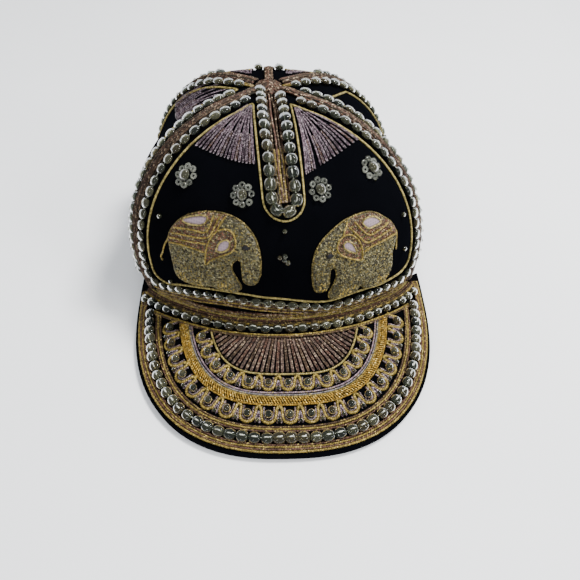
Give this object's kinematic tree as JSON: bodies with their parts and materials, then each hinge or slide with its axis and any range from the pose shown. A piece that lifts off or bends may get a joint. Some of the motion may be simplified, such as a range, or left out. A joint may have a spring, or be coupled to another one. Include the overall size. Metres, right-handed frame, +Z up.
{
  "type": "beaded velvet cap",
  "caption": "Soft velvet cap with a dented crown and a broad flat peak, trimmed with couched braid, glass beads and padded elephant figures.",
  "frame": {"origin": "bottom centre of the bounding box, level with the rear rim and the edge of the peak", "axes": "+Z up out of the crown; the peak points to -Y; +X to the right as seen from the front"},
  "size_m": [0.1854, 0.2646, 0.1182],
  "materials": {
    "velvet": "black cotton velvet, deep matt pile",
    "braid": "red-brown twisted cords couched side by side, with a dull metal glint",
    "gold_cord": "tarnished gold thread cord, half gloss",
    "glass": "clear greenish-grey glass beads sewn with pale thread",
    "applique": "padded figures covered with grey-green and gold metal thread"
  },
  "bodies": {
    "root": {"crown_front": "velvet", "crown_side_right": "velvet", "crown_back_right": "velvet", "crown_back_left": "velvet", "crown_side_left": "velvet", "peak": "velvet", "top_gather": "braid", "braid_front_left": "braid", "braid_front_right": "braid", "braid_rear_left": "braid", "braid_rear_right": "braid", "braid_centre_back": "braid", "braid_rim_front": "braid", "braid_rim_back": "braid", "braid_dart": "braid", "peak_edge_braid": "braid", "peak_inner_braid": "braid", "peak_gold_band": "gold_cord", "beads_front": "glass", "beads_side_right": "glass", "beads_back_right": "glass", "beads_back_left": "glass", "beads_side_left": "glass", "beads_dart": "glass", "beads_peak_edge": "glass", "beads_peak_root": "glass", "beads_scallops_outer": "glass", "beads_scallops_inner": "glass", "rosette_left_outer": "glass", "rosette_left_inner": "glass", "rosette_right_inner": "glass", "rosette_right_outer": "glass", "elephant_left": "applique", "elephant_right": "applique"}
  },
  "joints": []
}
